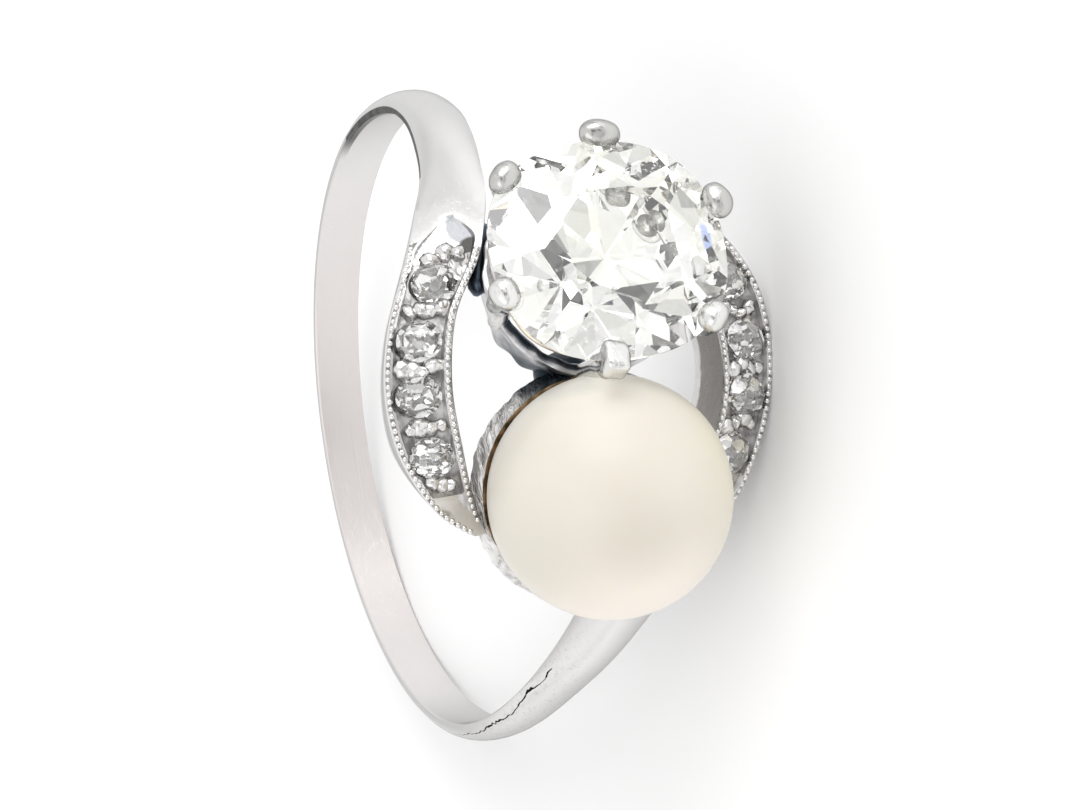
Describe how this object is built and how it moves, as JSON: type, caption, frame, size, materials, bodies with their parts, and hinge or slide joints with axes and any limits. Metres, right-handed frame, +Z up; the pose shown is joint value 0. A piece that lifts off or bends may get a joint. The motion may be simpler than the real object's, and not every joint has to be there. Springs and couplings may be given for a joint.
{
  "type": "pearl and diamond ring",
  "caption": "Ring with a pearl in a cup and an old-cut diamond in a claw collet, side by side between two crescent shoulders set with small rose-cut stones.",
  "frame": {"origin": "middle of the bounding box on the surface that the ring lies on", "axes": "+Z up, away from the surface; -Y from the middle of the box towards the head with the stones, +Y towards the back of the shank; X across, with the pearl on the -X side"},
  "size_m": [0.019, 0.0254, 0.0115],
  "materials": {
    "white_metal": "polished white precious metal, a little worn",
    "diamond": "polished facets",
    "pearl": "soft nacre lustre",
    "side_stone": "polished facets"
  },
  "bodies": {
    "root": {"ring_mount": "white_metal", "diamond": "diamond", "pearl": "pearl", "side_stone_1": "side_stone", "side_stone_2": "side_stone", "side_stone_3": "side_stone", "side_stone_4": "side_stone", "side_stone_5": "side_stone", "side_stone_6": "side_stone", "side_stone_7": "side_stone", "side_stone_8": "side_stone"}
  },
  "joints": []
}
